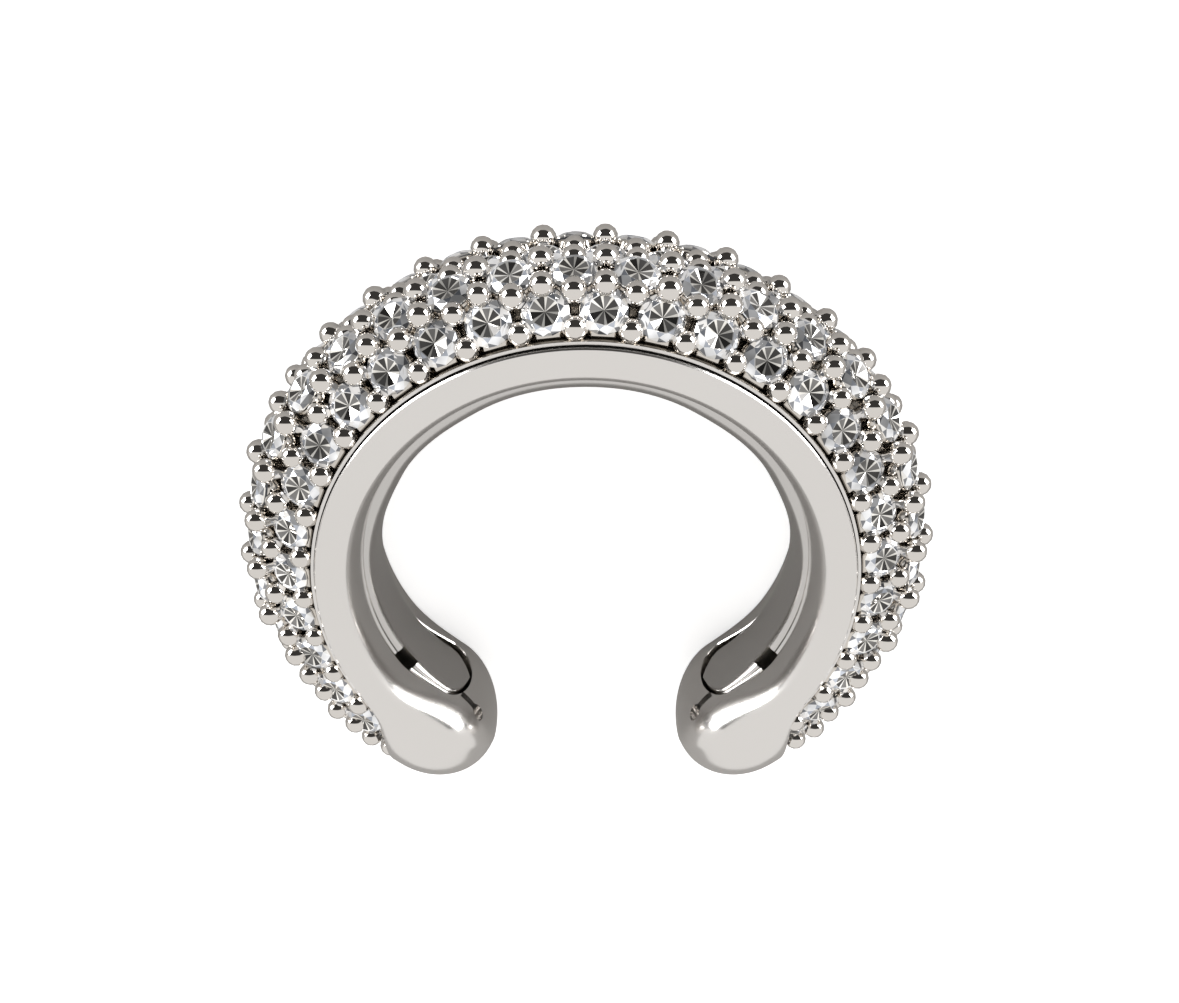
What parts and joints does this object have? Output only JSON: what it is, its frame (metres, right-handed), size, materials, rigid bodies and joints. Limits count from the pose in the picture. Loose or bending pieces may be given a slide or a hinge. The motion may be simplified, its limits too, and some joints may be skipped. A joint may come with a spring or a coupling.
{
  "type": "ear cuff",
  "caption": "Rigid C-shaped ear cuff: a cast metal shell with rounded tips, a stone-paved outer band and a pillowed inner plate.",
  "frame": {"origin": "middle of the cuff's footprint, on the surface it lies on", "axes": "+Z along the cuff's axis, upwards from the side it lies on; +Y towards the middle of the C, so the gap between the tips faces -Y; +X from one tip's side to the other"},
  "size_m": [0.016, 0.0142, 0.0038],
  "materials": {
    "polished_metal": "high-polished rhodium-plated white gold",
    "polished_plate": "high-polished white gold, inner comfort surface",
    "pave": "clear brilliant-cut stones held by polished beads over a dark bed"
  },
  "bodies": {
    "root": {"cuff_shell": "polished_metal", "inner_plate": "polished_plate", "pave_surface": "pave"}
  },
  "joints": []
}
